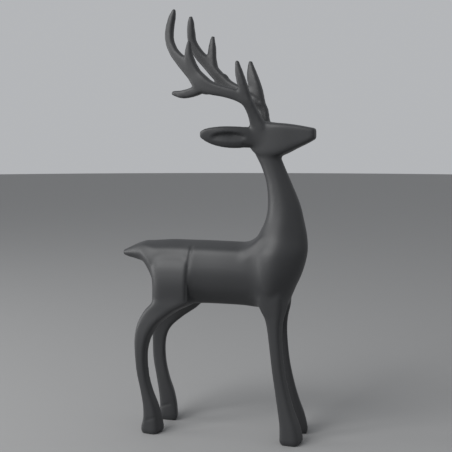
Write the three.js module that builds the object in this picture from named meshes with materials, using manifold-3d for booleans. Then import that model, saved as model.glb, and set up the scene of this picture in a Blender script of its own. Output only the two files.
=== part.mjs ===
// A standing reindeer figurine, cast in one piece.
// Millimetres, +Z up, the animal faces +X, its left side is +Y.
// The origin is on the floor under the middle of the figure's box.

import * as THREE from "three";
import { mergeVertices } from "three/addons/utils/BufferGeometryUtils.js";
import Module from "manifold-3d";

const wasm = await Module();
wasm.setup();

// Driving sizes
const height = 380; // floor to the antler tips
const share = height / 100; // the figure is laid out in hundredths of its height
const headTurn = -7; // degrees, the head looks a little to its right
const headPivot = [10.6, 0]; // the upright axis that the head turns on, x and y
const tipRise = 0.8; // how far a tine's end point stands out, as a share of the end's half size

// How finely the surface is divided
const trunkSides = 24;
const withersSides = 16;
const haunchSides = 16;
const neckSides = 24;
const headSides = 20;
const earSides = 14;
const legSides = 12;
const antlerSides = 10;
const stepsPerStation = 2;

// Sections: flat sides with soft edges, as [angle in degrees, distance from the middle of a unit circle].
// An angle of 0 faces outwards to the side, 90 faces along the second axis of the ring.
const trunkSection = {
  edge: 14,
  sides: [
    [72, 0.945], [22, 0.97], [-12, 0.99], [-48, 0.97], [-90, 1],
    [108, 0.945], [158, 0.97], [192, 0.99], [228, 0.97],
  ],
};
const neckSection = {
  edge: 6,
  sides: [
    [90, 0.975], [38, 0.95], [-15, 1.06], [-64, 1.1], [-90, 1.15],
    [142, 0.95], [195, 1.06], [244, 1.1],
  ],
};
const headSection = {
  edge: 16,
  sides: [[90, 1], [52, 1.29], [1, 0.98], [-44, 1.26], [-90, 1], [128, 1.29], [179, 0.98], [224, 1.26]],
};
const haunchSection = { edge: 12, sides: [[0, 1], [90, 1], [180, 1], [270, 1], [-48, 1.15], [228, 1.15]] };
const legSection = { edge: 5, sides: [[-4, 1], [78, 1], [180, 1], [268, 1]] };
const antlerSection = { edge: 5, sides: [[0, 1], [90, 1], [180, 1], [270, 1]] };
const earSection = { edge: 3, sides: [[0, 1], [90, 1], [180, 1], [270, 1]] };

// Stations, in hundredths of the height: middle x, y, z, then half size outwards and half size along the ring.
// Tail tip to chest, rings upright.
const trunk = [
  [-25.9, 0, 42.7, 0.75, 0.6],
  [-24.6, 0, 42.8, 1.5, 1.15],
  [-22.4, 0, 43.1, 2.5, 1.95],
  [-20.2, 0, 43.1, 3.95, 2.75],
  [-18.2, 0, 41.7, 5.1, 4.4],
  [-16.2, 0, 39.6, 5.8, 6.8],
  [-13, 0, 38.7, 5.8, 8.0],
  [-10, 0, 38.8, 5.8, 7.9],
  [-8.5, 0, 38.8, 6.1, 7.9],
  [-7.4, 0, 38.85, 6.35, 7.85],
  [-4.6, 0, 38.95, 6.3, 7.75],
  [0, 0, 38.95, 6.35, 7.7],
  [4.5, 0, 38.9, 6.25, 7.7],
  [9.5, 0, 38.9, 6.1, 7.9],
  [13.5, 0, 39.1, 5.2, 6.4],
];
// From inside the trunk up into the neck, rings upright: the withers.
const withers = [
  [2.0, 0, 40.0, 5.0, 5.2],
  [5.0, 0, 41.3, 5.2, 4.9],
  [7.5, 0, 42.8, 5.2, 4.8],
  [9.5, 0, 44.6, 4.6, 4.7],
  [11.5, 0, 46.5, 3.6, 4.4],
];
// Bottom of the chest to the back of the head, rings level.
const neck = [
  [12.5, 0, 30.8, 2.8, 1.8],
  [12.3, 0, 32.9, 4.9, 3.2],
  [12.0, 0, 35.8, 6.5, 4.8],
  [12.2, 0, 39.6, 7.1, 6.3],
  [12.7, 0, 43.9, 6.5, 6.9],
  [13.6, 0, 47.7, 4.8, 5.9],
  [14.1, 0, 51.5, 3.9, 4.6],
  [13.9, 0, 55.3, 3.3, 3.8],
  [12.7, 0, 60.0, 2.8, 3.0],
  [11.2, 0, 63.9, 2.55, 2.75],
  [9.6, 0, 67.5, 2.5, 2.9],
  [9.0, 0, 70.3, 2.2, 2.5],
];
// Back of the head to the nose, rings upright, x from the head's pivot.
const head = [
  [-4.5, 0, 70.9, 2.5, 2.2],
  [-3.6, 0, 70.5, 3.0, 3.3],
  [-1.2, 0, 69.9, 3.1, 4.2],
  [1.2, 0, 69.9, 3.0, 3.95],
  [3.6, 0, 70.2, 2.7, 3.45],
  [6.2, 0, 70.65, 2.2, 2.65],
  [8.7, 0, 71.0, 1.75, 1.85],
  [10.2, 0, 71.25, 1.4, 1.3],
  [10.6, 0, 71.25, 1.0, 0.95],
];
// One ear, root to tip, rings upright, x from the head's pivot, for the left side.
const ear = [
  [-0.6, 2.1, 70.4, 0.85, 1.7],
  [-2.6, 2.3, 70.4, 1.0, 2.2],
  [-4.6, 3.2, 70.5, 1.05, 2.3],
  [-6.8, 4.35, 70.5, 1.1, 2.45],
  [-9.2, 5.5, 70.6, 1.05, 2.4],
  [-11.6, 6.4, 70.8, 0.95, 2.0],
  [-13.4, 7.1, 71.05, 0.75, 1.35],
  [-14.4, 7.5, 71.15, 0.45, 0.6],
];
const earHollow = { x: -7.9, y: 6.1, z: 70.55, long: 3.9, deep: 1.0, tall: 1.25, splay: 22 };

// The left front leg, shoulder to sole, rings level.
const frontLeg = [
  [11.6, 3.2, 37.6, 2.4, 2.8],
  [11.7, 3.4, 34.3, 2.5, 3.2],
  [12.0, 3.45, 31.5, 2.25, 2.8],
  [12.35, 3.65, 29.1, 1.8, 1.95],
  [12.5, 3.75, 26.4, 1.55, 1.5],
  [12.8, 3.85, 22.5, 1.4, 1.3],
  [13.45, 4.0, 17.1, 1.4, 1.25],
  [14.45, 4.2, 11.8, 1.45, 1.4],
  [15.35, 4.4, 7.9, 1.6, 1.65],
  [16.15, 4.5, 4.8, 1.8, 2.0],
  [16.55, 4.5, 2.2, 2.0, 2.3],
  [16.6, 4.5, 0.9, 2.05, 2.35],
  [16.65, 4.5, 0, 1.75, 2.0],
];
// The left haunch, rings level.
const haunch = [
  [-12.3, 1.7, 44.8, 1.4, 4.3],
  [-12.3, 2.6, 43.2, 1.9, 4.6],
  [-12.4, 3.4, 41.6, 2.3, 4.85],
  [-12.4, 3.9, 39.4, 2.7, 4.9],
  [-12.2, 4.15, 36.2, 2.95, 4.6],
  [-12.3, 4.15, 32.0, 2.6, 4.6],
];
// The left rear leg, thigh to sole, rings level.
const leftRearLeg = [
  [-12.2, 4.1, 36.0, 2.4, 4.2],
  [-11.7, 4.15, 32.1, 2.7, 4.9],
  [-12.6, 4.6, 29.5, 2.2, 3.9],
  [-15.5, 5.1, 26.6, 1.9, 2.85],
  [-18.15, 5.6, 23.5, 1.7, 2.15],
  [-19.05, 5.85, 19.9, 1.5, 1.6],
  [-19.0, 5.9, 15.2, 1.4, 1.5],
  [-18.15, 5.75, 10.8, 1.45, 1.55],
  [-17.1, 5.6, 6.9, 1.6, 1.9],
  [-16.6, 5.5, 3.9, 1.8, 2.05],
  [-16.55, 5.4, 1.9, 2.0, 2.2],
  [-16.55, 5.4, 0.8, 2.05, 2.25],
  [-16.55, 5.4, 0, 1.8, 2.0],
];
// The right rear leg, which stands a little further back, also with y outwards.
const rightRearLeg = [
  [-12.2, 4.1, 36.0, 2.4, 4.2],
  [-11.9, 4.15, 32.1, 2.7, 4.7],
  [-15.05, 4.6, 29.5, 2.2, 3.65],
  [-17.7, 5.1, 26.6, 1.9, 2.5],
  [-19.05, 5.6, 23.5, 1.6, 1.75],
  [-19.5, 5.85, 19.9, 1.4, 1.3],
  [-19.25, 5.9, 15.2, 1.35, 1.15],
  [-18.4, 5.75, 10.8, 1.4, 1.15],
  [-17.4, 5.6, 6.9, 1.6, 1.5],
  [-17.0, 5.5, 3.9, 1.8, 1.85],
  [-17.1, 5.4, 1.9, 2.0, 2.2],
  [-17.1, 5.4, 0.8, 2.05, 2.25],
  [-17.1, 5.4, 0, 1.8, 2.0],
];
// The right antler, x from the head's pivot, y outwards: beam and main tine, then the other tines.
const rightAntler = {
  beam: [
    [-2.1, 1.9, 72.3, 1.4, 1.9],
    [-2.8, 2.5, 74.6, 1.15, 1.4],
    [-3.6, 3.1, 76.8, 1.1, 1.15],
    [-4.6, 3.6, 78.7, 1.2, 1.2],
    [-6.8, 3.9, 80.0, 1.3, 1.25],
    [-9.8, 4.4, 80.9, 1.3, 1.25],
    [-12.8, 4.8, 81.7, 1.3, 1.5],
    [-15.2, 5.0, 82.9, 1.3, 1.9],
    [-17.0, 5.0, 84.9, 1.25, 1.6],
    [-19.6, 5.0, 87.5, 1.15, 1.35],
    [-22.0, 4.9, 90.0, 1.05, 1.0],
    [-23.3, 4.7, 92.7, 1.0, 0.9],
    [-23.4, 4.5, 95.5, 0.95, 0.85],
    [-22.9, 4.3, 98.0, 0.85, 0.7],
    [-22.4, 4.2, 99.7, 0.5, 0.4],
  ],
  tines: [
    [
      [-3.1, 2.9, 75.2, 0.8, 0.9],
      [-4.2, 3.5, 78.3, 0.95, 1.0],
      [-5.1, 4.0, 81.3, 1.05, 1.0],
      [-6.0, 4.3, 84.5, 0.95, 0.85],
      [-6.6, 4.5, 87.4, 0.5, 0.42],
    ],
    [
      [-15.6, 5.0, 83.4, 1.2, 1.3],
      [-17.5, 5.2, 86.6, 1.1, 1.25],
      [-18.1, 5.5, 89.4, 0.9, 0.85],
      [-17.9, 5.8, 92.2, 0.42, 0.38],
    ],
    [
      [-14.6, 4.9, 82.0, 1.2, 1.2],
      [-17.2, 5.1, 80.9, 1.1, 1.05],
      [-19.8, 5.3, 80.4, 0.95, 0.9],
      [-22.1, 5.4, 80.7, 0.55, 0.5],
    ],
  ],
};
const leftAntler = {
  beam: [
    [-1.8, 1.9, 72.3, 1.3, 1.5],
    [-2.3, 2.6, 74.6, 1.0, 0.95],
    [-2.9, 3.3, 76.8, 0.95, 0.9],
    [-4.7, 3.6, 79.1, 1.25, 1.25],
    [-6.7, 3.9, 80.7, 1.3, 1.2],
    [-9.3, 4.3, 81.5, 1.3, 1.1],
    [-12.3, 4.6, 82.9, 1.25, 1.15],
    [-15.2, 4.8, 85.2, 1.25, 1.25],
    [-17.9, 4.9, 88.1, 1.15, 1.3],
    [-20.3, 4.8, 90.6, 1.1, 1.15],
    [-21.8, 4.6, 93.3, 1.0, 0.95],
    [-22.1, 4.4, 95.9, 0.95, 0.85],
    [-22.05, 4.2, 98.1, 0.75, 0.65],
    [-22.0, 4.1, 99.3, 0.45, 0.35],
  ],
  tines: [
    [
      [-2.8, 3.1, 75.5, 0.8, 0.8],
      [-3.9, 3.6, 78.4, 1.0, 1.1],
      [-5.1, 4.0, 81.5, 1.2, 1.4],
      [-6.2, 4.3, 84.8, 1.05, 1.2],
      [-6.8, 4.5, 88.1, 0.5, 0.42],
    ],
    [
      [-16.2, 4.8, 86, 1.1, 1.1],
      [-16.9, 5.1, 89, 1.05, 1.0],
      [-16.95, 5.4, 92, 0.85, 0.8],
      [-16.9, 5.6, 94.5, 0.42, 0.38],
    ],
    [
      [-13.6, 4.7, 84.6, 1.2, 1.2],
      [-15.6, 5.0, 82.6, 1.1, 1.0],
      [-18.2, 5.2, 81.7, 0.95, 0.85],
      [-20.6, 5.4, 81.9, 0.55, 0.45],
    ],
  ],
};

const LEVEL = "level"; // rings lie flat
const UPRIGHT = "upright"; // rings stand across the figure
const SQUARE = "square"; // rings stand square to the path

// A smooth curve through evenly spaced values (Catmull and Rom's cubic), at t from 0 to values.length - 1.
function smooth(values, t) {
  const last = values.length - 1;
  const i = Math.min(Math.floor(t), last - 1);
  const f = t - i;
  const b = values[i];
  const c = values[i + 1];
  const a = i > 0 ? values[i - 1] : 2 * b - c;
  const d = i + 2 <= last ? values[i + 2] : 2 * c - b;
  return b + 0.5 * f * (c - a + f * (2 * a - 5 * b + 4 * c - d + f * (3 * (b - c) + d - a)));
}

// Distance from the middle to a section's edge at an angle: a soft meeting of its flat sides.
function reach(section, angle) {
  let sum = 0;
  for (const [facing, distance] of section.sides) {
    const lean = Math.cos(angle - THREE.MathUtils.degToRad(facing)) / distance;
    sum += Math.max(0, lean) ** section.edge;
  }
  return sum ** (-1 / section.edge);
}

// A closed solid that carries a section along a row of stations, as a Manifold in millimetres.
function loft(stations, section, sides, lie) {
  const columns = stations[0].map((_, k) => stations.map((station) => station[k]));
  const rows = (stations.length - 1) * stepsPerStation;
  const at = (t) => columns.map((column) => smooth(column, t));
  const points = [];
  for (let row = 0; row <= rows; row += 1) {
    const t = row / stepsPerStation;
    const [x, y, z, out, along] = at(t);
    let outwards = new THREE.Vector3(0, 1, 0);
    let second = lie === LEVEL ? new THREE.Vector3(1, 0, 0) : new THREE.Vector3(0, 0, 1);
    if (lie === SQUARE) {
      const before = new THREE.Vector3(...at(Math.max(t - 0.1, 0)));
      const after = new THREE.Vector3(...at(Math.min(t + 0.1, stations.length - 1)));
      const direction = after.sub(before).normalize();
      outwards.addScaledVector(direction, -outwards.dot(direction)).normalize();
      second = new THREE.Vector3().crossVectors(direction, outwards);
    }
    for (let side = 0; side < sides; side += 1) {
      const angle = (2 * Math.PI * side) / sides;
      const distance = reach(section, angle);
      const point = new THREE.Vector3(x, y, z);
      point.addScaledVector(outwards, out * distance * Math.cos(angle));
      point.addScaledVector(second, along * distance * Math.sin(angle));
      points.push(point.multiplyScalar(share));
    }
  }
  const first = points.length;
  const last = stations.length - 1;
  for (const [end, inside] of [[0, 0.1], [last, last - 0.1]]) {
    const middle = new THREE.Vector3(...at(end));
    if (lie === SQUARE) {
      const onwards = middle.clone().sub(new THREE.Vector3(...at(inside))).normalize();
      middle.addScaledVector(onwards, tipRise * at(end)[4]);
    }
    points.push(middle.multiplyScalar(share));
  }
  const triangles = [];
  for (let side = 0; side < sides; side += 1) {
    const next = (side + 1) % sides;
    for (let row = 0; row < rows; row += 1) {
      const here = row * sides;
      const there = here + sides;
      triangles.push(here + side, here + next, there + next, here + side, there + next, there + side);
    }
    triangles.push(first, next, side);
    triangles.push(first + 1, rows * sides + side, rows * sides + next);
  }
  return solidOf(points, triangles);
}

// Points and triangles as a Manifold that faces outwards.
function solidOf(points, triangles) {
  let volume = 0;
  for (let k = 0; k < triangles.length; k += 3) {
    const [a, b, c] = [points[triangles[k]], points[triangles[k + 1]], points[triangles[k + 2]]];
    volume += a.dot(new THREE.Vector3().crossVectors(b, c));
  }
  const facing = volume > 0 ? triangles : triangles.slice().reverse();
  const vertProperties = new Float32Array(points.flatMap((p) => [p.x, p.y, p.z]));
  return new wasm.Manifold(new wasm.Mesh({ numProp: 3, vertProperties, triVerts: new Uint32Array(facing) }));
}

// A three.js geometry as a Manifold.
function solidOfGeometry(geometry) {
  geometry.deleteAttribute("normal");
  geometry.deleteAttribute("uv");
  const merged = mergeVertices(geometry, 1e-4);
  const place = merged.attributes.position;
  const points = [];
  for (let k = 0; k < place.count; k += 1) {
    points.push(new THREE.Vector3().fromBufferAttribute(place, k));
  }
  return solidOf(points, Array.from(merged.index.array));
}

// Stations on the other side of the figure.
function mirrored(stations) {
  return stations.map(([x, y, z, ...rest]) => [x, -y, z, ...rest]);
}

// A loft for the left side, and the same form for the right side.
function pair(stations, section, sides, lie) {
  const left = loft(stations, section, sides, lie);
  return [left, left.mirror([0, 1, 0])];
}

function antler(form, isRight) {
  const turned = isRight ? mirrored : (stations) => stations;
  return [form.beam, ...form.tines].map((path) => loft(turned(path), antlerSection, antlerSides, SQUARE));
}

// The shell-shaped hollow of the left ear, as the solid that is cut away.
function hollow() {
  const { x, y, z, long, deep, tall, splay } = earHollow;
  const geometry = new THREE.SphereGeometry(1, 20, 12);
  geometry.scale(long * share, deep * share, tall * share);
  geometry.rotateZ(THREE.MathUtils.degToRad(-splay));
  geometry.translate(x * share, y * share, z * share);
  return solidOfGeometry(geometry);
}

function turnedHead() {
  const leftHollow = hollow();
  const ears = pair(ear, earSection, earSides, UPRIGHT);
  const pieces = [
    loft(head, headSection, headSides, UPRIGHT),
    ears[0].subtract(leftHollow),
    ears[1].subtract(leftHollow.mirror([0, 1, 0])),
    ...antler(rightAntler, true),
    ...antler(leftAntler, false),
  ];
  const placed = [headPivot[0] * share, headPivot[1] * share, 0];
  return pieces.reduce((sum, piece) => sum.add(piece)).rotate([0, 0, headTurn]).translate(placed);
}

function figure() {
  const pieces = [
    loft(trunk, trunkSection, trunkSides, UPRIGHT),
    loft(withers, trunkSection, withersSides, UPRIGHT),
    loft(neck, neckSection, neckSides, LEVEL),
    ...pair(frontLeg, legSection, legSides, LEVEL),
    ...pair(haunch, haunchSection, haunchSides, LEVEL),
    loft(leftRearLeg, legSection, legSides, LEVEL),
    loft(mirrored(rightRearLeg), legSection, legSides, LEVEL),
    turnedHead(),
  ];
  return pieces.reduce((sum, piece) => sum.add(piece));
}

// The joined solid as a three.js geometry with its box's middle over the origin.
function geometryOf(solid) {
  const mesh = solid.getMesh();
  const geometry = new THREE.BufferGeometry();
  geometry.setAttribute("position", new THREE.BufferAttribute(mesh.vertProperties, 3));
  geometry.setIndex(new THREE.BufferAttribute(mesh.triVerts, 1));
  geometry.computeBoundingBox();
  const middle = geometry.boundingBox.getCenter(new THREE.Vector3());
  geometry.translate(-middle.x, -middle.y, 0);
  return geometry;
}

const greyFinish = new THREE.MeshStandardMaterial({ color: 0x3b3d3f, roughness: 0.5, metalness: 0 });
greyFinish.name = "grey_finish";

const reindeer = new THREE.Mesh(geometryOf(figure()), greyFinish);
reindeer.name = "reindeer";

const model = new THREE.Group();
model.add(reindeer);
export default model;
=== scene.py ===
import math

import bpy
import numpy as np
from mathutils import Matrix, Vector


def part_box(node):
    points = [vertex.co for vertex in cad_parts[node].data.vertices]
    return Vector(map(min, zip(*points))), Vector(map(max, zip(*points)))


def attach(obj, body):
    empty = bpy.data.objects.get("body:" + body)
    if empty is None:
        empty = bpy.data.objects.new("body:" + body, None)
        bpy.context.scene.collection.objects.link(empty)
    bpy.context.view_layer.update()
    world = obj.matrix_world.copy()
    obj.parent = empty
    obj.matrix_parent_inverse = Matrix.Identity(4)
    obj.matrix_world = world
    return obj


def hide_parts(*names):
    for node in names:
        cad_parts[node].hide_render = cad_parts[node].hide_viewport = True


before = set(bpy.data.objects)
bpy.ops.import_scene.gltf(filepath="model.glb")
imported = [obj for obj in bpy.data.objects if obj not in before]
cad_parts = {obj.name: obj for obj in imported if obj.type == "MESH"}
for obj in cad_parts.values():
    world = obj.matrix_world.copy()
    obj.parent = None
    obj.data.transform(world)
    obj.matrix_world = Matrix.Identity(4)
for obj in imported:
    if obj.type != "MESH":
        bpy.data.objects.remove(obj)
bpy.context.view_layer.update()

bl_info = {
    "name": "Reindeer Figurine",
    "version": (1, 0, 0),
    "blender": (4, 5, 0),
    "location": "3D View > Sidebar > Reindeer",
    "description": "Builds a cast reindeer figurine in a satin dark grey finish, on a plain studio stage",
    "category": "Add Mesh",
}

NODE = "reindeer"

# The figure is laid out in hundredths of its height, as the solid is. The animal faces +X and its left is +Y.
HEAD_TURN = math.radians(-7)
HEAD_PIVOT = np.array([10.6, 0.0, 0.0])
TIP_RISE = 0.8
STEPS = 8  # rings between two stations
DOME_ANGLES = (22.5, 45, 67.5, 82)  # degrees, the rings of a tine's rounded end
TRUNK_SIDES = 96
NECK_SIDES = 80
HEAD_SIDES = 64
HAUNCH_SIDES = 64
LEG_SIDES = 48
EAR_SIDES = 40
ANTLER_SIDES = 32
FILL_SHARE = 0.95  # of the way to the neighbours' mean, at the most
FILL_SOFTNESS = 0.004  # hundredths, the bend at which the filling works in full
EVEN_STEP, EVEN_BACK = 0.5, 0.52  # the step to the neighbours' mean, and the step back

# Sections: edge exponent, then the flat sides as (facing in degrees, distance from the middle).
TRUNK_SECTION = (14, [(72, 0.945), (22, 0.97), (-12, 0.99), (-48, 0.97), (-90, 1.0),
                      (108, 0.945), (158, 0.97), (192, 0.99), (228, 0.97)])
NECK_SECTION = (6, [(90, 0.975), (38, 0.95), (-15, 1.06), (-64, 1.1), (-90, 1.15),
                    (142, 0.95), (195, 1.06), (244, 1.1)])
HEAD_SECTION = (16, [(90, 1.0), (52, 1.29), (1, 0.98), (-44, 1.26), (-90, 1.0),
                     (128, 1.29), (179, 0.98), (224, 1.26)])
HAUNCH_SECTION = (12, [(0, 1.0), (90, 1.0), (180, 1.0), (270, 1.0), (-48, 1.15), (228, 1.15)])
LEG_SECTION = (5, [(-4, 1.0), (78, 1.0), (180, 1.0), (268, 1.0)])
ANTLER_SECTION = (5, [(0, 1.0), (90, 1.0), (180, 1.0), (270, 1.0)])
EAR_SECTION = (3, [(0, 1.0), (90, 1.0), (180, 1.0), (270, 1.0)])

# Stations: middle x, y, z, then half size outwards and half size along the ring.
TRUNK = [
    [-25.9, 0, 42.7, 0.75, 0.6], [-24.6, 0, 42.8, 1.5, 1.15], [-22.4, 0, 43.1, 2.5, 1.95],
    [-20.2, 0, 43.1, 3.95, 2.75], [-18.2, 0, 41.7, 5.1, 4.4], [-16.2, 0, 39.6, 5.8, 6.8],
    [-13, 0, 38.7, 5.8, 8.0], [-10, 0, 38.8, 5.8, 7.9], [-8.5, 0, 38.8, 6.1, 7.9],
    [-7.4, 0, 38.85, 6.35, 7.85], [-4.6, 0, 38.95, 6.3, 7.75], [0, 0, 38.95, 6.35, 7.7],
    [4.5, 0, 38.9, 6.25, 7.7], [9.5, 0, 38.9, 6.1, 7.9], [13.5, 0, 39.1, 5.2, 6.4],
]
# The withers stand out up to 0.6 more than the solid's do.
WITHERS = [
    [2.0, 0, 40.0, 5.1, 5.2], [5.0, 0, 41.3, 5.7, 5.0], [7.5, 0, 42.8, 5.75, 4.95],
    [9.5, 0, 44.7, 5.15, 4.75], [11.5, 0, 46.7, 3.85, 4.35],
]
NECK = [
    [12.5, 0, 30.8, 2.8, 1.8], [12.3, 0, 32.9, 4.9, 3.2], [12.0, 0, 35.8, 6.5, 4.8],
    [12.2, 0, 39.6, 7.1, 6.3], [12.7, 0, 43.9, 6.5, 6.9], [13.6, 0, 47.7, 4.8, 5.9],
    [14.1, 0, 51.5, 3.9, 4.6], [13.9, 0, 55.3, 3.3, 3.8], [12.7, 0, 60.0, 2.8, 3.0],
    [11.2, 0, 63.9, 2.55, 2.75], [9.6, 0, 67.5, 2.5, 2.9], [9.0, 0, 70.3, 2.2, 2.5],
]
HEAD = [
    [-4.5, 0, 70.9, 2.5, 2.2], [-3.6, 0, 70.5, 3.0, 3.3], [-1.2, 0, 69.9, 3.1, 4.2],
    [1.2, 0, 69.9, 3.0, 3.95], [3.6, 0, 70.2, 2.7, 3.45], [6.2, 0, 70.65, 2.2, 2.65],
    [8.7, 0, 71.0, 1.75, 1.85], [10.2, 0, 71.25, 1.4, 1.3], [10.6, 0, 71.25, 1.0, 0.95],
]
EAR = [
    [-0.6, 2.1, 70.4, 0.85, 1.7], [-2.6, 2.3, 70.4, 1.0, 2.2], [-4.6, 3.2, 70.5, 1.05, 2.3],
    [-6.8, 4.35, 70.5, 1.1, 2.45], [-9.2, 5.5, 70.6, 1.05, 2.4], [-11.6, 6.4, 70.8, 0.95, 2.0],
    [-13.4, 7.1, 71.05, 0.75, 1.35], [-14.4, 7.5, 71.15, 0.45, 0.6],
]
FRONT_LEG = [
    [11.6, 3.2, 37.6, 2.4, 2.8], [11.7, 3.4, 34.3, 2.5, 3.2], [12.0, 3.45, 31.5, 2.25, 2.8],
    [12.35, 3.65, 29.1, 1.8, 1.95], [12.5, 3.75, 26.4, 1.55, 1.5], [12.8, 3.85, 22.5, 1.4, 1.3],
    [13.45, 4.0, 17.1, 1.4, 1.25], [14.45, 4.2, 11.8, 1.45, 1.4], [15.35, 4.4, 7.9, 1.6, 1.65],
    [16.15, 4.5, 4.8, 1.8, 2.0], [16.55, 4.5, 2.2, 2.0, 2.3], [16.6, 4.5, 0.9, 2.05, 2.35],
    [16.65, 4.5, 0, 1.75, 2.0],
]
HAUNCH = [
    [-12.3, 1.7, 44.8, 1.4, 4.3], [-12.3, 2.6, 43.2, 1.9, 4.6], [-12.4, 3.4, 41.6, 2.3, 4.85],
    [-12.4, 3.9, 39.4, 2.7, 4.9], [-12.2, 4.15, 36.2, 2.95, 4.6], [-12.3, 4.15, 32.0, 2.6, 4.6],
]
RIGHT_REAR_LEG = [
    [-12.2, 4.1, 36.0, 2.4, 4.2], [-11.9, 4.15, 32.1, 2.7, 4.7], [-15.05, 4.6, 29.5, 2.2, 3.65],
    [-17.7, 5.1, 26.6, 1.9, 2.5], [-19.05, 5.6, 23.5, 1.6, 1.75], [-19.5, 5.85, 19.9, 1.4, 1.3],
    [-19.25, 5.9, 15.2, 1.35, 1.15], [-18.4, 5.75, 10.8, 1.4, 1.15], [-17.4, 5.6, 6.9, 1.6, 1.5],
    [-17.0, 5.5, 3.9, 1.8, 1.85], [-17.1, 5.4, 1.9, 2.0, 2.2], [-17.1, 5.4, 0.8, 2.05, 2.25],
    [-17.1, 5.4, 0, 1.8, 2.0],
]
LEFT_REAR_LEG = [
    [-12.2, 4.1, 36.0, 2.4, 4.2], [-11.7, 4.15, 32.1, 2.7, 4.9], [-12.6, 4.6, 29.5, 2.2, 3.9],
    [-15.5, 5.1, 26.6, 1.9, 2.85], [-18.15, 5.6, 23.5, 1.7, 2.15], [-19.05, 5.85, 19.9, 1.5, 1.6],
    [-19.0, 5.9, 15.2, 1.4, 1.5], [-18.15, 5.75, 10.8, 1.45, 1.55], [-17.1, 5.6, 6.9, 1.6, 1.9],
    [-16.6, 5.5, 3.9, 1.8, 2.05], [-16.55, 5.4, 1.9, 2.0, 2.2], [-16.55, 5.4, 0.8, 2.05, 2.25],
    [-16.55, 5.4, 0, 1.8, 2.0],
]
RIGHT_ANTLER = [
    [
        [-2.1, 1.9, 72.3, 1.4, 1.9], [-2.8, 2.5, 74.6, 1.15, 1.4], [-3.6, 3.1, 76.8, 1.1, 1.15],
        [-4.6, 3.6, 78.7, 1.2, 1.2], [-6.8, 3.9, 80.0, 1.3, 1.25], [-9.8, 4.4, 80.9, 1.3, 1.25],
        [-12.8, 4.8, 81.7, 1.3, 1.5], [-15.2, 5.0, 82.9, 1.3, 1.9], [-17.0, 5.0, 84.9, 1.25, 1.6],
        [-19.6, 5.0, 87.5, 1.15, 1.35], [-22.0, 4.9, 90.0, 1.05, 1.0], [-23.3, 4.7, 92.7, 1.0, 0.9],
        [-23.4, 4.5, 95.5, 0.95, 0.85], [-22.9, 4.3, 98.0, 0.85, 0.7], [-22.4, 4.2, 99.7, 0.5, 0.4],
    ],
    [[-3.1, 2.9, 75.2, 0.8, 0.9], [-4.2, 3.5, 78.3, 0.95, 1.0], [-5.1, 4.0, 81.3, 1.05, 1.0],
     [-6.0, 4.3, 84.5, 0.95, 0.85], [-6.6, 4.5, 87.4, 0.5, 0.42]],
    [[-15.6, 5.0, 83.4, 1.2, 1.3], [-17.5, 5.2, 86.6, 1.1, 1.25], [-18.1, 5.5, 89.4, 0.9, 0.85],
     [-17.9, 5.8, 92.2, 0.42, 0.38]],
    [[-14.6, 4.9, 82.0, 1.2, 1.2], [-17.2, 5.1, 80.9, 1.1, 1.05], [-19.8, 5.3, 80.4, 0.95, 0.9],
     [-22.1, 5.4, 80.7, 0.55, 0.5]],
]
LEFT_ANTLER = [
    [
        [-1.8, 1.9, 72.3, 1.3, 1.5], [-2.3, 2.6, 74.6, 1.0, 0.95], [-2.9, 3.3, 76.8, 0.95, 0.9],
        [-4.7, 3.6, 79.1, 1.25, 1.25], [-6.7, 3.9, 80.7, 1.3, 1.2], [-9.3, 4.3, 81.5, 1.3, 1.1],
        [-12.3, 4.6, 82.9, 1.25, 1.15], [-15.2, 4.8, 85.2, 1.25, 1.25], [-17.9, 4.9, 88.1, 1.15, 1.3],
        [-20.3, 4.8, 90.6, 1.1, 1.15], [-21.8, 4.6, 93.3, 1.0, 0.95], [-22.1, 4.4, 95.9, 0.95, 0.85],
        [-22.05, 4.2, 98.1, 0.75, 0.65], [-22.0, 4.1, 99.3, 0.45, 0.35],
    ],
    [[-2.8, 3.1, 75.5, 0.8, 0.8], [-3.9, 3.6, 78.4, 1.0, 1.1], [-5.1, 4.0, 81.5, 1.2, 1.4],
     [-6.2, 4.3, 84.8, 1.05, 1.2], [-6.8, 4.5, 88.1, 0.5, 0.42]],
    [[-16.2, 4.8, 86, 1.1, 1.1], [-16.9, 5.1, 89, 1.05, 1.0], [-16.95, 5.4, 92, 0.85, 0.8],
     [-16.9, 5.6, 94.5, 0.42, 0.38]],
    [[-13.6, 4.7, 84.6, 1.2, 1.2], [-15.6, 5.0, 82.6, 1.1, 1.0], [-18.2, 5.2, 81.7, 0.95, 0.85],
     [-20.6, 5.4, 81.9, 0.55, 0.45]],
]


def through(values, t):
    """A smooth curve through evenly spaced rows, at t from 0 to the last row's number.

    Catmull and Rom's cubic: b + f/2 (c - a + f (2a - 5b + 4c - d + f (3 (b - c) + d - a))).
    """
    values = np.asarray(values, float)
    before = 2 * values[:1] - values[1:2]
    after = 2 * values[-1:] - values[-2:-1]
    padded = np.vstack([before, values, after])
    i = np.minimum(np.floor(t).astype(int), len(values) - 2)
    f = (t - i)[:, None]
    a, b, c, d = (padded[i + k] for k in range(4))
    return b + 0.5 * f * (c - a + f * (2 * a - 5 * b + 4 * c - d + f * (3 * (b - c) + d - a)))


def reach(section, angle):
    """Distance from the middle to a section's edge.

    It is the sum of max(0, cos(angle - facing) / distance) ** edge over the sides, to the power -1 / edge.
    """
    edge, sides = section
    facing, distance = np.array(sides, float).T
    lean = np.cos(angle[:, None] - np.radians(facing)) / distance
    return (np.maximum(lean, 0) ** edge).sum(1) ** (-1 / edge)


def unit(vectors):
    return vectors / np.maximum(np.linalg.norm(vectors, axis=1, keepdims=True), 1e-9)


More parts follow.
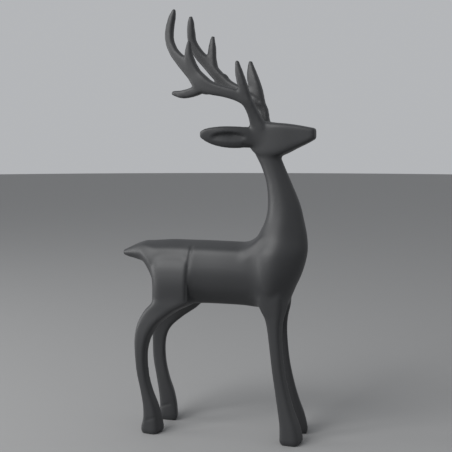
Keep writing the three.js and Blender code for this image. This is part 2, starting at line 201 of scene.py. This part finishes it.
def ring_axes(stations, t, lie):
    """The two axes of each ring: outwards is +Y, and the second is +X on level rings and +Z on upright ones.

    On square rings both stand across the path: outwards less its part along the path, then path x outwards.
    """
    outwards = np.tile([0.0, 1.0, 0.0], (len(t), 1))
    if lie != "square":
        return outwards, np.tile([1.0, 0.0, 0.0] if lie == "level" else [0.0, 0.0, 1.0], (len(t), 1))
    last = len(stations) - 1
    path = through(stations, np.minimum(t + 0.1, last)) - through(stations, np.maximum(t - 0.1, 0))
    direction = unit(path[:, :3])
    outwards = unit(outwards - (outwards * direction).sum(1, keepdims=True) * direction)
    return outwards, np.cross(direction, outwards)


def loft(stations, section, sides, lie):
    """A closed surface that carries a section along its stations.

    Point = middle + outwards * half * reach * cos + second * half * reach * sin, for the ring's angle.
    A square loft ends in domes: the last ring shrinks by cos and moves on by sin times TIP_RISE.
    """
    last = len(stations) - 1
    t = np.linspace(0, last, last * STEPS + 1)
    rows = through(stations, t)
    outwards, second = ring_axes(stations, t, lie)
    middle, half = rows[:, :3], rows[:, 3:]
    if lie == "square":
        turn = np.radians(DOME_ANGLES)
        ends = []
        for end, sign in ((0, -1), (-1, 1)):
            direction = sign * np.cross(outwards[end], second[end])
            rise = np.sin(turn)[:, None] * TIP_RISE * half[end, 1] * direction
            ends.append((middle[end] + rise, half[end] * np.cos(turn)[:, None]))
        (first_middle, first_half), (last_middle, last_half) = ends
        middle = np.vstack([first_middle[::-1], middle, last_middle])
        half = np.vstack([first_half[::-1], half, last_half])
        repeat = [len(turn)] + [1] * (len(t) - 2) + [len(turn)]
        repeat[0] += 1
        repeat[-1] += 1
        outwards, second = np.repeat(outwards, repeat, 0), np.repeat(second, repeat, 0)
    angle = np.linspace(0, 2 * math.pi, sides, endpoint=False)
    edge = reach(section, angle)
    across = (edge * np.cos(angle))[None, :, None] * half[:, None, :1] * outwards[:, None]
    along = (edge * np.sin(angle))[None, :, None] * half[:, None, 1:] * second[:, None]
    points = (middle[:, None] + across + along).reshape(-1, 3)
    return np.vstack([points, middle[[0, -1]]]), tube_faces(len(middle), sides)


def tube_faces(rows, sides):
    """Triangles of a tube of rows x sides points, closed by fans round two end points that follow them."""
    row, side = np.divmod(np.arange((rows - 1) * sides), sides)
    onward = (side + 1) % sides
    a, b = row * sides + side, row * sides + onward
    walls = np.vstack([np.column_stack([a, b, b + sides]), np.column_stack([a, b + sides, a + sides])])
    side = np.arange(sides)
    onward = (side + 1) % sides
    pole = np.full(sides, rows * sides)
    top = (rows - 1) * sides
    fans = [np.column_stack([pole, onward, side]), np.column_stack([pole + 1, top + side, top + onward])]
    return np.vstack([walls, *fans])


def outside_out(points, faces):
    """The same faces, turned round where the signed volume, the sum of a . (b x c), is negative."""
    a, b, c = points[faces[:, 0]], points[faces[:, 1]], points[faces[:, 2]]
    volume = (a * np.cross(b, c)).sum()
    return faces if volume > 0 else faces[:, ::-1]


def mirrored(piece):
    points, faces = piece
    return points * [1, -1, 1], faces


def turn_head(points):
    """Turned by HEAD_TURN about the upright axis, then moved to the neck's top."""
    c, s = math.cos(HEAD_TURN), math.sin(HEAD_TURN)
    return points @ np.array([[c, s, 0], [-s, c, 0], [0, 0, 1]]) + HEAD_PIVOT


def unturn_head(points):
    c, s = math.cos(HEAD_TURN), math.sin(HEAD_TURN)
    return (points - HEAD_PIVOT) @ np.array([[c, -s, 0], [s, c, 0], [0, 0, 1]])


def raw_figure():
    """Every loft of the figure in one list of points and faces, in hundredths of the height."""
    ear = loft(EAR, EAR_SECTION, EAR_SIDES, "upright")
    head = [loft(HEAD, HEAD_SECTION, HEAD_SIDES, "upright"), ear, mirrored(ear)]
    head += [mirrored(loft(path, ANTLER_SECTION, ANTLER_SIDES, "square")) for path in RIGHT_ANTLER]
    head += [loft(path, ANTLER_SECTION, ANTLER_SIDES, "square") for path in LEFT_ANTLER]
    legs = (FRONT_LEG, LEFT_REAR_LEG, RIGHT_REAR_LEG)
    front, left, right = (loft(path, LEG_SECTION, LEG_SIDES, "level") for path in legs)
    haunch = loft(HAUNCH, HAUNCH_SECTION, HAUNCH_SIDES, "level")
    body = [loft(path, TRUNK_SECTION, TRUNK_SIDES, "upright") for path in (TRUNK, WITHERS)]
    body.append(loft(NECK, NECK_SECTION, NECK_SIDES, "level"))
    body += [front, mirrored(front), haunch, mirrored(haunch), left, mirrored(right)]
    pieces = body + [(turn_head(points), faces) for points, faces in head]
    start = np.cumsum([0] + [len(points) for points, _ in pieces])
    faces = [outside_out(points, faces) + first for (points, faces), first in zip(pieces, start)]
    return np.vstack([points for points, _ in pieces]), np.vstack(faces)


def read(collection, name, width, kind=float):
    values = np.empty(len(collection) * width, kind)
    collection.foreach_get(name, values)
    return values.reshape(-1, width) if width > 1 else values


class Skin:
    """The joined surface as arrays: points, edges and faces, with the means and normals for smoothing."""

    def __init__(self, mesh):
        self.points = read(mesh.vertices, "co", 3)
        self.edges = read(mesh.edges, "vertices", 2, np.int32)
        mesh.calc_loop_triangles()
        self.faces = read(mesh.loop_triangles, "vertices", 3, np.int32)
        self.count = len(self.points)
        self.degree = np.bincount(self.edges.ravel(), minlength=self.count)

    def mean(self, values):
        """The mean of each point's neighbours."""
        a, b = self.edges.T
        columns = values.reshape(self.count, -1).T
        total = [np.bincount(a, v[b], self.count) + np.bincount(b, v[a], self.count) for v in columns]
        return (np.array(total) / np.maximum(self.degree, 1)).T.reshape(values.shape)

    def normals(self):
        """The sum of each point's face normals, weighted by area, at unit length."""
        a, b, c = (self.points[self.faces[:, k]] for k in range(3))
        face = np.cross(b - a, c - a)
        total = [sum(np.bincount(self.faces[:, k], v, self.count) for k in range(3)) for v in face.T]
        return unit(np.array(total).T)

    def even(self, rounds, share=1.0):
        """Evens the surface without shrinking it: a step to the neighbours' mean, then a longer one back."""
        for _ in range(rounds):
            self.points += share * EVEN_STEP * (self.mean(self.points) - self.points)
            self.points -= share * EVEN_BACK * (self.mean(self.points) - self.points)

    def fill(self, rounds, weight):
        """Fills inner corners only: a step to the neighbours' mean where that lies outside the surface."""
        for _ in range(rounds):
            pull = self.mean(self.points) - self.points
            outward = (pull * self.normals()).sum(1)
            share = weight * np.clip(outward / FILL_SOFTNESS, 0, 1)
            self.points += share[:, None] * pull


# Carved lines in the side view as x and z, then half width and depth. On the head x is from its pivot, and
# the last number is the side: -1 right, 1 left.
BODY_LINES = [
    ([(-7.4, 45.0), (-7.6, 41.2), (-7.8, 36.5), (-7.9, 32.6)], 0.4, 0.28),
    ([(-17.72, 3.43), (-16.82, 3.86), (-15.78, 4.1)], 0.25, 0.1),
]
HEAD_LINES = [
    ([(-5.02, 68.74), (-3.79, 68.29)], 0.35, 0.25, -1),
    ([(-5.02, 68.74), (-3.79, 68.29)], 0.35, 0.25, 1),
    ([(-6.1, 80.4), (-4.9, 79.8), (-3.9, 78.95)], 0.3, 0.25, 1),
]
EAR_HOLLOW = {"x": -8.1, "z": 70.45, "long": 4.0, "tall": 1.25, "deep": 1.0, "beyond": 3.2}
BODY_ENDS = (60, 62)  # heights between which the body's carving stops
HEAD_STARTS = 66  # height above which the head's lines are carved


def fade(value, low, high):
    """0 below low and 1 above high, with t * t * (3 - 2 t) between."""
    t = np.clip((value - low) / (high - low), 0, 1)
    return t * t * (3 - 2 * t)


def away_from(points, path):
    """Distance of each point to a line of points in the side view."""
    flat = points[:, [0, 2]]
    path = np.array(path, float)
    nearest = np.full(len(flat), np.inf)
    for start, step in zip(path, np.diff(path, axis=0)):
        t = np.clip(((flat - start) @ step) / (step @ step), 0, 1)
        nearest = np.minimum(nearest, np.linalg.norm(flat - start - t[:, None] * step, axis=1))
    return nearest


def joined(mesh_name, points, faces, cell):
    """One skin round all the lofts: their outer surface on a grid of cells."""
    mesh = bpy.data.meshes.new(mesh_name)
    mesh.from_pydata(points.tolist(), [], faces.tolist())
    rough = bpy.data.objects.new(mesh_name + "_rough", mesh)
    bpy.context.scene.collection.objects.link(rough)
    remesh = rough.modifiers.new("One skin", "REMESH")
    remesh.mode = "VOXEL"
    remesh.voxel_size = cell
    remesh.adaptivity = 0
    graph = bpy.context.evaluated_depsgraph_get()
    result = bpy.data.meshes.new_from_object(rough.evaluated_get(graph))
    bpy.data.objects.remove(rough)
    bpy.data.meshes.remove(mesh)
    if len(result.vertices) < 1000:
        raise RuntimeError("the lofts gave no surface")
    return result


def band(value, low, high, soft):
    """1 between low and high and 0 beyond, with soft ends."""
    return fade(value, low - soft, low) * (1 - fade(value, high, high + soft))


def corner_weight(points):
    """How much an inner corner fills: least along the haunch's front and under the jaw."""
    x, _, z = points.T
    haunch = band(x, -9.5, -6, 1) * band(z, 31, 47, 1.5)
    jaw = band(z, 64.5, 68.5, 1)
    antlers = fade(z, 73, 76)
    rear = 1 - fade(x, 0, 3)
    return FILL_SHARE * (1 - 0.9 * haunch) * (1 - 0.85 * jaw) * (1 - 0.7 * antlers) * (1 - 0.4 * rear)


def press(skin, distance, width, depth, where):
    """Presses a line or hollow in along the normals: depth * exp(-(distance / width) ** 2) * where."""
    amount = depth * np.exp(-((distance / width) ** 2)) * where
    skin.points -= amount[:, None] * skin.normals()


def carve(skin):
    """The carved lines and the ears' hollows, the same on both sides except the fold across the left antler's
    fork, which is on the left only.
    """
    side = np.abs(skin.normals()[:, 1])
    body = 1 - fade(skin.points[:, 2], *BODY_ENDS)
    for path, width, depth in BODY_LINES:
        distance = away_from(skin.points, path)
        press(skin, distance, width, depth, fade(side, 0.3, 0.6) * body)
    local = unturn_head(skin.points)
    x, y, z = local.T
    normal = skin.normals()
    facing = fade(normal[:, 1] * np.sign(y) * 0.9 - normal[:, 0] * 0.2, 0.25, 0.6)
    u, v = (x - EAR_HOLLOW["x"]) / EAR_HOLLOW["long"], (z - EAR_HOLLOW["z"]) / EAR_HOLLOW["tall"]
    rim = np.clip(1 - u**2 - v**2, 0, 1)
    bowl = fade(rim, 0, 0.55) * np.clip(0.5 + 0.7 * v + 0.15 * u, 0, 1) * (1 - 0.55 * fade(u, 0.1, 1))
    depth = EAR_HOLLOW["deep"] * bowl * facing * (np.abs(y) > EAR_HOLLOW["beyond"])
    skin.points -= depth[:, None] * normal
    for path, width, depth, side_of in HEAD_LINES:
        distance = away_from(local, path)
        press(skin, distance, width, depth, fade(side, 0.2, 0.5) * (z > HEAD_STARTS) * (side_of * y > 0))


def cast_skin(settings):
    """The finished skin: lofts joined, inner corners filled, evened, then the carved lines pressed in."""
    points, faces = raw_figure()
    mesh = joined("reindeer_cast", points, faces, settings.cell)
    skin = Skin(mesh)
    skin.even(4)
    weight = corner_weight(skin.points)
    skin.fill(settings.fillet_rounds, weight)
    x, _, z = skin.points.T
    shoulder = band(x, 3, 14, 3) * band(z, 40, 56, 3)
    skin.fill(settings.shoulder_rounds, FILL_SHARE * shoulder)
    chest = band(x, 5, 20, 3) * band(z, 24, 38, 3)
    skin.fill(settings.shoulder_rounds // 2, FILL_SHARE * chest)
    skin.even(settings.even_rounds)
    skin.even(settings.tine_rounds, band(skin.points[:, 2], 75, 84, 2)[:, None])
    carve(skin)
    skin.even(2)
    return mesh, skin


def fitted(points):
    """Hundredths of the height to metres: the lofts' box middle on the solid's, the soles on the floor."""
    raw, _ = raw_figure()
    low, high = (np.array(corner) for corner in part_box(NODE))
    share = (high[2] - low[2]) / (raw[:, 2].max() - raw[:, 2].min())
    middle = (raw.min(0) + raw.max(0)) / 2
    middle[2] = raw[:, 2].min()
    floor = (low + high) / 2
    floor[2] = low[2]
    placed = (points - middle) * share + floor
    return np.clip(placed, low, high)


class Value:
    """A shader socket that takes Python's arithmetic and adds the Math nodes for it."""

    def __init__(self, finish, socket):
        self.finish = finish
        self.socket = socket

    def math(self, operation, *values):
        return self.finish.node("ShaderNodeMath", {"operation": operation}, dict(enumerate(values)))

    def __add__(self, other):
        return self.math("ADD", self, other)

    def __mul__(self, other):
        return self.math("MULTIPLY", self, other)

    def __sub__(self, other):
        return self.math("SUBTRACT", self, other)

    __radd__ = __add__


class Finish:
    """A material under construction. node() adds any node: type, settings, then sockets' values or links."""

    def __init__(self, name):
        self.material = bpy.data.materials.new(name)
        self.material.use_nodes = True
        self.tree = self.material.node_tree
        self.tree.nodes.clear()

    def node(self, kind, settings=None, sockets=None, out=0):
        made = self.tree.nodes.new(kind)
        for name, value in (settings or {}).items():
            setattr(made, name, value)
        for name, value in (sockets or {}).items():
            socket = made.inputs[name]
            if isinstance(value, Value):
                self.tree.links.new(value.socket, socket)
            else:
                socket.default_value = value
        return Value(self, made.outputs[out])

    def ends_in(self, shader):
        output = self.tree.nodes.new("ShaderNodeOutputMaterial")
        self.tree.links.new(shader.socket, output.inputs["Surface"])
        return self.material


def satin_grey(settings):
    """The satin dark grey coat: a faint large drift in tone, a fine cast grain and slightly uneven gloss."""
    finish = Finish("grey_finish")
    place = finish.node("ShaderNodeTexCoord", out="Object")
    wide = {"Vector": place, "Scale": 22.0, "Detail": 3.0, "Roughness": 0.55}
    fine = {"Vector": place, "Scale": 900.0, "Detail": 2.0, "Roughness": 0.6}
    drift = finish.node("ShaderNodeTexNoise", {}, wide)
    grain = finish.node("ShaderNodeTexNoise", {}, fine)
    base = settings.colour
    pale = tuple(min(1.0, c * 1.07) for c in base[:3]) + (1.0,)
    deep = tuple(c * 0.93 for c in base[:3]) + (1.0,)
    shades = {"Factor": drift * 1.6 - 0.3, "A": deep, "B": pale}
    tone = finish.node("ShaderNodeMix", {"data_type": "RGBA"}, shades, out="Result")
    roughness = settings.roughness + (drift - 0.5) * 0.05 + (grain - 0.5) * 0.05
    bumps = {"Strength": settings.grain, "Distance": 0.0001, "Height": grain}
    relief = finish.node("ShaderNodeBump", {}, bumps, out="Normal")
    coat = {"Base Color": tone, "Roughness": roughness, "IOR": 1.5, "Normal": relief}
    return finish.ends_in(finish.node("ShaderNodeBsdfPrincipled", {}, coat))


def plain(name, colour, roughness):
    finish = Finish(name)
    shader = finish.node(
        "ShaderNodeBsdfPrincipled", {}, {"Base Color": (*colour, 1.0), "Roughness": roughness}
    )
    return finish.ends_in(shader)


class ReindeerFigure(bpy.types.PropertyGroup):
    cell: bpy.props.FloatProperty(
        name="Cell",
        description="Grid cell that the skin is worked out on, in hundredths of the figure's height",
        default=0.3,
        min=0.2,
        max=1.0,
    )
    fillet_rounds: bpy.props.IntProperty(
        name="Corner filling",
        description="Rounds of filling of the inner corners",
        default=90,
        min=0,
        max=200,
    )
    shoulder_rounds: bpy.props.IntProperty(
        name="Shoulder filling",
        description="Rounds of filling where neck and back meet",
        default=240,
        min=0,
        max=400,
    )
    even_rounds: bpy.props.IntProperty(
        name="Evening",
        description="Rounds of evening of the whole skin",
        default=6,
        min=0,
        max=60,
    )
    tine_rounds: bpy.props.IntProperty(
        name="Tine evening",
        description="More rounds where the lower tines leave the antlers",
        default=16,
        min=0,
        max=60,
    )


class ReindeerFinish(bpy.types.PropertyGroup):
    colour: bpy.props.FloatVectorProperty(
        name="Colour",
        description="Base colour of the coat",
        subtype="COLOR",
        size=4,
        default=(0.030, 0.031, 0.033, 1.0),
        min=0.0,
        max=1.0,
    )
    roughness: bpy.props.FloatProperty(
        name="Roughness",
        description="How wide its highlights spread",
        subtype="FACTOR",
        default=0.5,
        min=0,
        max=1,
    )
    grain: bpy.props.FloatProperty(
        name="Grain",
        description="Strength of the fine cast grain",
        subtype="FACTOR",
        default=0.12,
        min=0,
        max=1,
    )


class ReindeerStage(bpy.types.PropertyGroup):
    key_power: bpy.props.FloatProperty(
        name="Key light", description="Power of the large soft light", unit="POWER", default=17.7, min=0
    )
    side_power: bpy.props.FloatProperty(
        name="Side light",
        description="Power of the soft light from the tail's side",
        unit="POWER",
        default=9.6,
        min=0,
    )
    fill: bpy.props.FloatProperty(
        name="Surroundings", description="Brightness of the light from all round", default=0.51, min=0
    )
    floor: bpy.props.FloatVectorProperty(
        name="Floor", description="Colour of the floor", subtype="COLOR", size=3, default=(0.3, 0.3, 0.3)
    )


class REINDEER_OT_cast(bpy.types.Operator):
    """Build the cast reindeer from its lofts, in its satin dark grey coat"""

    bl_idname = "reindeer.cast"
    bl_label = "Cast Reindeer"

    def execute(self, context):
        mesh, skin = cast_skin(context.scene.reindeer_figure)
        mesh.vertices.foreach_set("co", fitted(skin.points).ravel())
        mesh.polygons.foreach_set("use_smooth", np.ones(len(mesh.polygons), bool))
        mesh.update()
        mesh.materials.clear()
        mesh.materials.append(satin_grey(context.scene.reindeer_finish))
        cast = bpy.data.objects.new("reindeer_cast", mesh)
        context.scene.collection.objects.link(cast)
        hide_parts(NODE)
        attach(cast, "root")
        return {"FINISHED"}


class REINDEER_OT_stage(bpy.types.Operator):
    """Build the pale floor, the soft lights and the camera"""

    bl_idname = "reindeer.stage"
    bl_label = "Stage"

    def execute(self, context):
        settings = context.scene.reindeer_stage
        lay_floor(context.scene, settings)
        hang_lights(context.scene, settings)
        place_camera(context.scene)
        return {"FINISHED"}


FLOOR_RADIUS = 6
FLOOR_SIDES = 96


def lay_floor(scene, settings):
    """A disc: radius times cos and sin of the angle, level with the soles."""
    angle = np.linspace(0, 2 * math.pi, FLOOR_SIDES, endpoint=False)
    rim = [FLOOR_RADIUS * np.cos(angle), FLOOR_RADIUS * np.sin(angle), np.zeros(FLOOR_SIDES)]
    mesh = bpy.data.meshes.new("floor")
    mesh.from_pydata(np.column_stack(rim).tolist(), [], [list(range(FLOOR_SIDES))])
    mesh.materials.append(plain("floor_paint", tuple(settings.floor), 0.8))
    floor = bpy.data.objects.new("floor", mesh)
    scene.collection.objects.link(floor)


LIGHT_DISTANCE = 1.5
LIGHT_AIM = (0.0, 0.0, 0.19)

# Lights: width and height in metres, then azimuth and height in degrees.
KEY_LIGHT = ((0.9, 0.8), -35, 40)
SIDE_LIGHT = ((0.8, 0.56), -75, 6)
SURROUNDINGS_TINT = (0.9, 0.92, 0.95, 1)


def soft_light(scene, name, power, size, azimuth, height):
    """A soft box at LIGHT_DISTANCE from the figure's middle, at an azimuth and height in degrees.

    The camera doesn't see the box itself.
    """
    turn, lift = math.radians(azimuth), math.radians(height)
    aim = Vector(LIGHT_AIM)
    towards = Vector((math.sin(turn) * math.cos(lift), -math.cos(turn) * math.cos(lift), math.sin(lift)))
    place = aim + towards * LIGHT_DISTANCE
    light = bpy.data.lights.new(name, "AREA")
    light.energy = power
    light.shape = "RECTANGLE"
    light.size, light.size_y = size
    lamp = bpy.data.objects.new(name, light)
    lamp.location = place
    lamp.rotation_euler = (-towards).to_track_quat("-Z", "Y").to_euler()
    lamp.visible_camera = False
    scene.collection.objects.link(lamp)


def hang_lights(scene, settings):
    """A large soft key high on the left, a low soft light from the tail's side and a dim pale world."""
    soft_light(scene, "key", settings.key_power, *KEY_LIGHT)
    soft_light(scene, "side", settings.side_power, *SIDE_LIGHT)
    world = bpy.data.worlds.new("surroundings")
    world.use_nodes = True
    background = world.node_tree.nodes["Background"]
    background.inputs["Color"].default_value = SURROUNDINGS_TINT
    background.inputs["Strength"].default_value = settings.fill
    scene.world = world
    scene.view_settings.view_transform = "Standard"


CAMERA_PLACE = (0.2077, -0.7174, 0.2655)
CAMERA_DOWN = 5.90  # degrees below level
CAMERA_TURN = 15.6  # degrees round from the animal's side towards its front
CAMERA_LENS = 66.27  # millimetres, for a sensor 36 mm wide


def place_camera(scene):
    """The photograph's viewpoint: a little to the animal's front and above it."""
    camera = bpy.data.cameras.new("camera")
    camera.sensor_width = 36.0
    camera.lens = CAMERA_LENS
    camera.clip_start = 0.01
    eye = bpy.data.objects.new("camera", camera)
    eye.location = CAMERA_PLACE
    eye.rotation_euler = (math.radians(90 - CAMERA_DOWN), 0.0, math.radians(CAMERA_TURN))
    scene.collection.objects.link(eye)
    scene.camera = eye


class REINDEER_PT_panel(bpy.types.Panel):
    bl_label = "Reindeer"
    bl_idname = "REINDEER_PT_panel"
    bl_space_type = "VIEW_3D"
    bl_region_type = "UI"
    bl_category = "Reindeer"

    def draw(self, context):
        scene = context.scene
        for settings in (scene.reindeer_figure, scene.reindeer_finish, scene.reindeer_stage):
            box = self.layout.box()
            for name in settings.__annotations__:
                box.prop(settings, name)
        for operator in OPERATORS:
            self.layout.operator(operator.bl_idname)


GROUPS = {
    "reindeer_figure": ReindeerFigure,
    "reindeer_finish": ReindeerFinish,
    "reindeer_stage": ReindeerStage,
}
OPERATORS = (REINDEER_OT_cast, REINDEER_OT_stage)


def register():
    for cls in (*GROUPS.values(), *OPERATORS, REINDEER_PT_panel):
        bpy.utils.register_class(cls)
    for name, group in GROUPS.items():
        setattr(bpy.types.Scene, name, bpy.props.PointerProperty(type=group))


def unregister():
    for name in GROUPS:
        delattr(bpy.types.Scene, name)
    for cls in reversed((*GROUPS.values(), *OPERATORS, REINDEER_PT_panel)):
        bpy.utils.unregister_class(cls)


def main():
    register()
    bpy.ops.reindeer.cast()
    bpy.ops.reindeer.stage()


if __name__ == "__main__":
    main()
